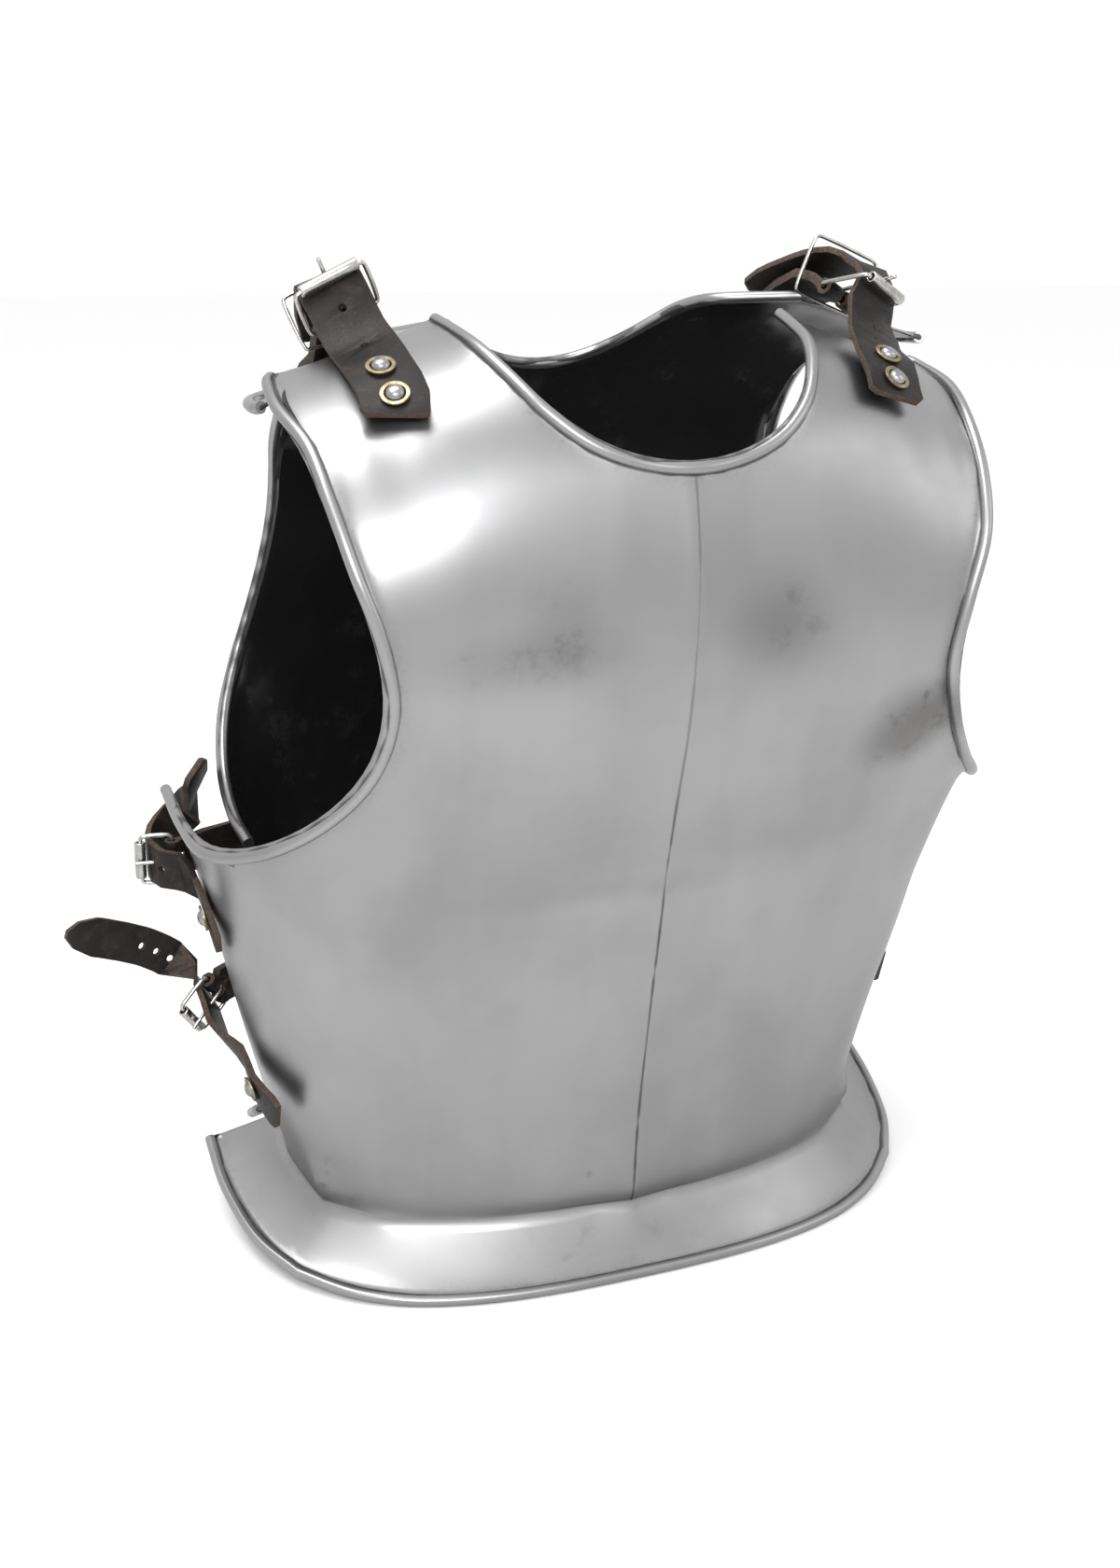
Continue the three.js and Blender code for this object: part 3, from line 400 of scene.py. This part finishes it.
# on long narrow strips of triangles, the longest edge of both its triangles is a diagonal
def drop_diagonals(piece, wanted):
    mesh = piece.data
    place = positions(mesh)
    longest = {}
    for face in mesh.polygons:
        if wanted[face.index]:
            key = max(face.edge_keys, key=lambda k: np.linalg.norm(place[k[0]] - place[k[1]]))
            longest[key] = longest.get(key, 0) + 1
    only(piece)
    bpy.context.tool_settings.mesh_select_mode = (False, True, False)
    bpy.ops.object.mode_set(mode="EDIT")
    bpy.ops.mesh.select_all(action="DESELECT")
    bpy.ops.object.mode_set(mode="OBJECT")
    for edge in mesh.edges:
        edge.select = longest.get(tuple(sorted(edge.vertices)), 0) == 2
    bpy.ops.object.mode_set(mode="EDIT")
    bpy.ops.mesh.dissolve_edges(use_verts=False)
    bpy.ops.object.mode_set(mode="OBJECT")


def apply_modifier(piece, kind, **settings):
    made = piece.modifiers.new(kind.lower(), kind)
    for key, value in settings.items():
        setattr(made, key, value)
    only(piece)
    bpy.ops.object.modifier_apply(modifier=made.name)


def crease_edges(piece, chosen, amount=1.0):
    attributes = piece.data.attributes
    layer = attributes.get("crease_edge") or attributes.new("crease_edge", "FLOAT", "EDGE")
    values = np.zeros(len(piece.data.edges), np.float32)
    layer.data.foreach_get("value", values)
    values[chosen] = amount
    layer.data.foreach_set("value", values)


def smooth_by_angle(piece, degrees):
    only(piece)
    bpy.ops.object.shade_smooth_by_angle(angle=math.radians(degrees))


def finish_piece(piece, node_name):
    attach(piece, "root")
    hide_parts(node_name)


def positions(mesh):
    found = np.empty(len(mesh.vertices) * 3)
    mesh.vertices.foreach_get("co", found)
    return found.reshape(-1, 3)


# which faces lie on thin sheet, with the other side of the sheet close behind them
def faces_on_sheet(piece, thickest):
    mesh = piece.data
    mesh.calc_loop_triangles()
    tree = BVHTree.FromObject(piece, bpy.context.evaluated_depsgraph_get())
    thin = np.zeros(len(mesh.polygons), bool)
    # a face goes by its widest triangle, whose middle is on the surface of a face that isn't flat
    for part in sorted(mesh.loop_triangles, key=lambda part: part.area):
        middle = sum((mesh.vertices[v].co for v in part.vertices), Vector()) / 3
        start = middle - part.normal * UNDER_SKIN
        thin[part.polygon_index] = tree.ray_cast(start, -part.normal, thickest)[0] is not None
    return thin


# the faces either side of every edge
def edge_faces(mesh):
    beside = {}
    for face in mesh.polygons:
        for key in face.edge_keys:
            beside.setdefault(key, []).append(face.index)
    return beside


# points along edges, close enough together to measure distances to them
def spread_points(place, keys, spacing=0.6 * MM):
    dots = []
    for a, b in keys:
        start, end = place[a], place[b]
        count = max(2, int(np.linalg.norm(end - start) / spacing))
        for t in np.linspace(0, 1, count, endpoint=False):
            dots.append(start + (end - start) * t)
    return dots


# a vertex attribute that holds the distance to a set of lines
def distance_attribute(piece, name, dots, less):
    tree = kdtree.KDTree(max(len(dots), 1))
    for i, dot in enumerate(dots):
        tree.insert(dot, i)
    tree.balance()
    layer = piece.data.attributes.new(name, "FLOAT", "POINT")
    far = [tree.find(v.co)[2] - less if dots else 1.0 for v in piece.data.vertices]
    layer.data.foreach_set("value", far)


# the sharp lines of a plate's broad faces: the flange's crease and the ridge on the middle line
def sharp_lines(mesh, on_sheet, middle):
    place = positions(mesh)
    folds, ridges = set(), set()
    for key, beside in edge_faces(mesh).items():
        if len(beside) != 2 or not (on_sheet[beside[0]] and on_sheet[beside[1]]):
            continue
        turn = mesh.polygons[beside[0]].normal.angle(mesh.polygons[beside[1]].normal)
        ends = place[list(key)]
        if turn > math.radians(22) and ends[:, 2].max() < 75 * MM:
            folds.add(key)
        elif np.abs(ends[:, 0] - middle).max() < 0.5 * MM and ends[:, 2].min() > 20 * MM:
            ridges.add(key)
    return folds, ridges


# the middle points of every rolled edge: the corners of one ring are joined by short edges
def roll_paths(mesh, on_sheet):
    place = positions(mesh)
    ring, long_edges = {}, []

    def root(vertex):
        while ring.setdefault(vertex, vertex) != vertex:
            vertex = ring[vertex]
        return vertex

    for face in mesh.polygons:
        if on_sheet[face.index]:
            continue
        for a, b in face.edge_keys:
            if np.linalg.norm(place[a] - place[b]) < ROLL_EDGE:
                ring[root(a)] = root(b)
            else:
                long_edges.append((a, b))
    members = {}
    for vertex in list(ring):
        members.setdefault(root(vertex), []).append(vertex)
    members = {key: group for key, group in members.items() if len(group) >= 4}
    beside = {key: {} for key in members}
    for a, b in long_edges:
        first, second = root(a), root(b)
        if first != second and first in members and second in members:
            beside[first][second] = beside[first].get(second, 0) + 1
            beside[second][first] = beside[second].get(first, 0) + 1
    near = {key: sorted(found, key=found.get)[-2:] for key, found in beside.items()}
    paths, seen = [], set()
    for start in sorted(near, key=lambda key: len(near[key])):
        path = []
        here = start
        while here is not None and here not in seen:
            seen.add(here)
            path.append(place[members[here]].mean(axis=0))
            here = next((key for key in near[here] if key not in seen), None)
        if len(path) > 3:
            paths.append(np.array(path))
    return [flowing(path) for path in paths]


# a smooth line through a row of points
def flowing(path, steps=6):
    ends = np.vstack([2 * path[0] - path[1], path, 2 * path[-1] - path[-2]])
    line = []
    for a, b, c, d in zip(ends, ends[1:], ends[2:], ends[3:]):
        for t in np.arange(steps) / steps:
            bend = (2 * a - 5 * b + 4 * c - d) * t**2 + (3 * b - a - 3 * c + d) * t**3
            line.append(0.5 * (2 * b + (c - a) * t + bend))
    return np.array(line + [path[-1]])


# the wired edge: a round tube along each path
def rolled_edge(name, paths, steel):
    curve = bpy.data.curves.new(name, "CURVE")
    curve.dimensions, curve.use_fill_caps = "3D", True
    curve.bevel_depth, curve.bevel_resolution = ROLL_RADIUS, 4
    for path in paths:
        spline = curve.splines.new("POLY")
        spline.points.add(len(path) - 1)
        for point, where in zip(spline.points, path):
            point.co = (where[0], where[1], max(where[2], ROLL_RADIUS), 1.0)
    piece = bpy.data.objects.new(name, curve)
    bpy.context.scene.collection.objects.link(piece)
    only(piece)
    bpy.ops.object.convert(target="MESH")
    piece.data.materials.clear()
    piece.data.materials.append(steel)
    return piece


# a plate: its facets rounded, its outside steel and its inside lacquered
def plate(node_name, outward, steel):
    piece = welded_copy(node_name)
    mesh = piece.data
    low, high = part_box(node_name)
    middle = (low.x + high.x) / 2
    drop_diagonals(piece, ~faces_on_sheet(piece, SHEET_LIMIT))
    on_sheet = faces_on_sheet(piece, SHEET_LIMIT)
    paths = roll_paths(mesh, on_sheet)
    folds, ridges = sharp_lines(mesh, on_sheet, middle)
    for edge in mesh.edges:
        edge.use_edge_sharp = tuple(sorted(edge.vertices)) in folds | ridges
    join_quads(piece, 60)
    for edge in mesh.edges:
        edge.use_edge_sharp = False
    on_sheet = faces_on_sheet(piece, SHEET_LIMIT)
    for made in (steel, LACQUER, steel):
        mesh.materials.append(made)
    for face in mesh.polygons:
        away = face.center - Vector((middle, -outward * 0.05, 0.0))
        away.z = max(0.0, face.center.z - 0.32)
        if not on_sheet[face.index]:
            face.material_index = EDGE
        elif face.normal.dot(away) < 0:
            face.material_index = LINING
    place = positions(mesh)
    sharp = [e.index for e in mesh.edges if tuple(sorted(e.vertices)) in folds | ridges]
    crease_edges(piece, sharp, 0.9)
    fold_dots, ridge_dots = spread_points(place, folds), spread_points(place, ridges)
    apply_modifier(piece, "SUBSURF", levels=2, render_levels=2)
    soften(piece, fold_dots + ridge_dots)
    hammer(piece, middle, outward)
    keep_apart(piece, LEAST_WALL)
    path_dots = [point for path in paths for point in path]
    distance_attribute(piece, "rim", path_dots, ROLL_RADIUS)
    roll = rolled_edge(node_name + "_rolled_edge", paths, steel)
    distance_attribute(roll, "rim", path_dots, -0.05)
    for part in (piece, roll):
        distance_attribute(part, "crease", fold_dots, 0.0)
        distance_attribute(part, "ridge", ridge_dots, 0.0)
    only(piece)
    roll.select_set(True)
    bpy.ops.object.join()
    smooth_by_angle(piece, 40)
    return piece


# where smoothing brought a plate's two skins together, the inner one is set back; only vertices well
# inside the inner skin move, and only off an outer face that lies close by and looks the other way
def keep_apart(piece, least):
    mesh = piece.data
    place = positions(mesh)
    skins = [set(), set(), set()]
    for face in mesh.polygons:
        skins[face.material_index].update(face.vertices)
    outer = [face.vertices[:] for face in mesh.polygons if face.material_index == STEEL]
    tree = BVHTree.FromPolygons([tuple(point) for point in place], outer)
    for vertex in skins[LINING] - skins[STEEL] - skins[EDGE]:
        point = Vector(place[vertex])
        near, normal = tree.find_nearest(point, SKIN_REACH)[:2]
        if near is None or normal.dot(mesh.vertices[vertex].normal) > -0.5:
            continue
        over = (point - near).dot(normal) + least
        if over > 0:
            place[vertex] = point - normal * over
    mesh.vertices.foreach_set("co", place.ravel())
    mesh.update()


# the shallow hollows that planishing left: place across and up, half sizes and depth outwards
HOLLOWS = [
    (-0.060, 0.345, 0.036, 0.020, -1.6),
    (0.050, 0.350, 0.030, 0.022, -1.9),
    (-0.095, 0.300, 0.050, 0.018, 1.2),
    (0.070, 0.300, 0.050, 0.018, 1.2),
    (-0.040, 0.215, 0.050, 0.012, -1.2),
    (0.060, 0.222, 0.050, 0.012, -1.2),
    (-0.110, 0.150, 0.014, 0.060, -1.3),
    (0.105, 0.160, 0.016, 0.060, -0.5),
    (0.000, 0.130, 0.060, 0.030, 0.4),
    (0.135, 0.290, 0.020, 0.030, -1.2),
]


# the plate's broad faces pushed in and out by the hollows and a faint ripple
def hammer(piece, middle, outward):
    mesh = piece.data
    place = positions(mesh)
    across, up = place[:, 0] - middle, place[:, 2]
    shift = np.zeros(len(place))
    for x, z, wide, tall, depth in HOLLOWS:
        shift += depth * np.exp(-(((across - x) / wide) ** 2) - ((up - z) / tall) ** 2)
    ripple = np.sin(across * 61 + up * 23) * np.sin(up * 47 - across * 19 + 1.3)
    shift += 0.25 * ripple * np.clip((up - 0.08) / 0.1, 0, 1)
    facing = np.clip(outward * place[:, 1] / 0.05, 0, 1)
    place[:, 1] += outward * shift * facing * MM
    mesh.vertices.foreach_set("co", place.ravel())
    mesh.update()


# evens out the broad faces, away from the rolls and the sharp lines
def soften(piece, fixed):
    mesh = piece.data
    held = np.zeros(len(mesh.vertices), bool)
    for face in mesh.polygons:
        if face.material_index == EDGE:
            held[list(face.vertices)] = True
    tree = kdtree.KDTree(max(len(fixed), 1))
    for i, dot in enumerate(fixed):
        tree.insert(dot, i)
    tree.balance()
    for vertex in mesh.vertices:
        if fixed and tree.find(vertex.co)[2] < CREASE_HELD:
            held[vertex.index] = True
    only(piece)
    bpy.ops.object.mode_set(mode="EDIT")
    bpy.ops.mesh.select_mode(type="VERT")
    bpy.ops.mesh.select_all(action="DESELECT")
    bpy.ops.object.mode_set(mode="OBJECT")
    mesh.vertices.foreach_set("select", ~held)
    bpy.ops.object.mode_set(mode="EDIT")
    bpy.ops.mesh.vertices_smooth(factor=0.5, repeat=30)
    bpy.ops.object.mode_set(mode="OBJECT")


# a strap: lighter leather on its cut edges and hole walls, its corners rubbed round
def strap(node_name):
    piece = welded_copy(node_name)
    mesh = piece.data
    mesh.materials.append(LEATHER)
    mesh.materials.append(CUT_EDGE)
    on_sheet = faces_on_sheet(piece, LEATHER_LIMIT)
    for face in mesh.polygons:
        face.material_index = 0 if on_sheet[face.index] else 1
    rubbed = {"limit_method": "ANGLE", "angle_limit": math.radians(50)}
    apply_modifier(piece, "BEVEL", width=0.45 * MM, segments=2, **rubbed)
    smooth_by_angle(piece, 38)
    return piece


# turned, bent or drawn metal: facets rounded, ends kept crisp
def rounded_metal(node_name, finish, crisp_degrees):
    piece = welded_copy(node_name)
    join_quads(piece, 70)
    mesh = piece.data
    mesh.materials.append(finish)
    index = {tuple(sorted(edge.vertices)): edge.index for edge in mesh.edges}
    sharp = []
    for key, beside in edge_faces(mesh).items():
        if len(beside) == 2:
            turn = mesh.polygons[beside[0]].normal.angle(mesh.polygons[beside[1]].normal)
            if turn > math.radians(crisp_degrees):
                sharp.append(index[key])
    crease_edges(piece, sharp, 0.75)
    apply_modifier(piece, "SUBSURF", levels=2, render_levels=2)
    smooth_by_angle(piece, 50)
    return piece


finish_piece(plate("breastplate", -1, BREAST_STEEL), "breastplate")
finish_piece(plate("backplate", 1, BACK_STEEL), "backplate")
for name in sorted(NODES):
    if name.endswith("billet") or name.endswith("buckle_strap"):
        finish_piece(strap(name), name)
    elif name.endswith("rivet"):
        finish_piece(rounded_metal(name, RIVET, 85), name)
    elif name.endswith("washer"):
        finish_piece(rounded_metal(name, BRASS, 75), name)
    elif name.endswith(("frame", "roller", "prong", "keeper")):
        finish_piece(rounded_metal(name, NICKEL, 80), name)


# ---- floor, light and camera --------------------------------------------------------------------

def floor():
    bpy.ops.object.select_all(action="DESELECT")
    bpy.ops.mesh.primitive_plane_add(size=12.0, location=(0, 0, 0))
    made = bpy.context.view_layer.objects.active
    made.name = "studio_floor"
    finish, tree, shader, coords = material("studio_floor")
    # in the metal it is mirrored a little darker, the more so far out
    far = node(tree, "ShaderNodeVectorMath", operation="LENGTH")
    link(tree, coords, far.inputs[0])
    dim = fade(tree, far.outputs["Value"], 0.4, 1.6, 0.34, 0.26)
    glossy = node(tree, "ShaderNodeLightPath").outputs["Is Glossy Ray"]
    amount = math_node(tree, "MULTIPLY", glossy, dim)
    link(tree, mix_colour(tree, amount, (0.94, 0.94, 0.94), (0.0, 0.0, 0.0)), shader.inputs["Base Color"])
    shader.inputs["Roughness"].default_value = 0.9
    made.data.materials.append(finish)


# a lamp with a soft rectangular front, placed by its direction and distance from the target
def soft_box(name, target, azimuth, elevation, distance, width, height, power):
    light = bpy.data.lights.new(name, "AREA")
    light.shape = "RECTANGLE"
    light.size, light.size_y, light.energy = width, height, power
    made = bpy.data.objects.new(name, light)
    bpy.context.scene.collection.objects.link(made)
    a, e = math.radians(azimuth), math.radians(elevation)
    away = Vector((math.sin(a) * math.cos(e), -math.cos(a) * math.cos(e), math.sin(e)))
    made.location = target + away * distance
    made.rotation_euler = away.to_track_quat("Z", "Y").to_euler()


def studio():
    world = bpy.data.worlds.new("studio")
    bpy.context.scene.world = world
    world.use_nodes = True
    tree = world.node_tree
    background = tree.nodes["Background"]
    background.inputs["Color"].default_value = (1.0, 1.0, 1.0, 1.0)
    # mirrored in the metal, the room is a little dimmer than it looks
    glossy = node(tree, "ShaderNodeLightPath").outputs["Is Glossy Ray"]
    link(tree, fade(tree, glossy, 0.0, 1.0, 1.05, 0.88), background.inputs["Strength"])
    low, high = (Vector(corner) for corner in cad_bounds)
    middle = (low + high) / 2
    soft_box("window_left", middle, -18, 31, 1.6, 0.9, 0.42, 12)
    soft_box("window_high", middle, -58, 60, 1.6, 0.4, 0.35, 4)
    soft_box("window_right", middle, 58, 28, 1.8, 0.9, 0.9, 2.5)
    soft_box("top", middle, -90, 78, 1.5, 0.6, 1.0, 12)
    bpy.context.scene.view_settings.view_transform = "Standard"


def camera():
    low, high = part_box("breastplate")
    target = Vector(((low.x + high.x) / 2 - 13.6 * MM, low.y + 123.7 * MM, 232.5 * MM))
    azimuth, elevation, roll = math.radians(-22.1), math.radians(19.3), math.radians(1.14)
    distance = 0.931
    back = Vector((
        math.sin(azimuth) * math.cos(elevation),
        -math.cos(azimuth) * math.cos(elevation),
        math.sin(elevation),
    ))
    lens = bpy.data.cameras.new("camera")
    lens.lens, lens.sensor_width, lens.sensor_fit = 41.96, 36.0, "AUTO"
    lens.clip_start = 0.05
    made = bpy.data.objects.new("camera", lens)
    bpy.context.scene.collection.objects.link(made)
    turn = back.to_track_quat("Z", "Y").to_matrix() @ Matrix.Rotation(roll, 3, "Z")
    made.matrix_world = Matrix.Translation(target + back * distance) @ turn.to_4x4()
    bpy.context.scene.camera = made


floor()
studio()
camera()
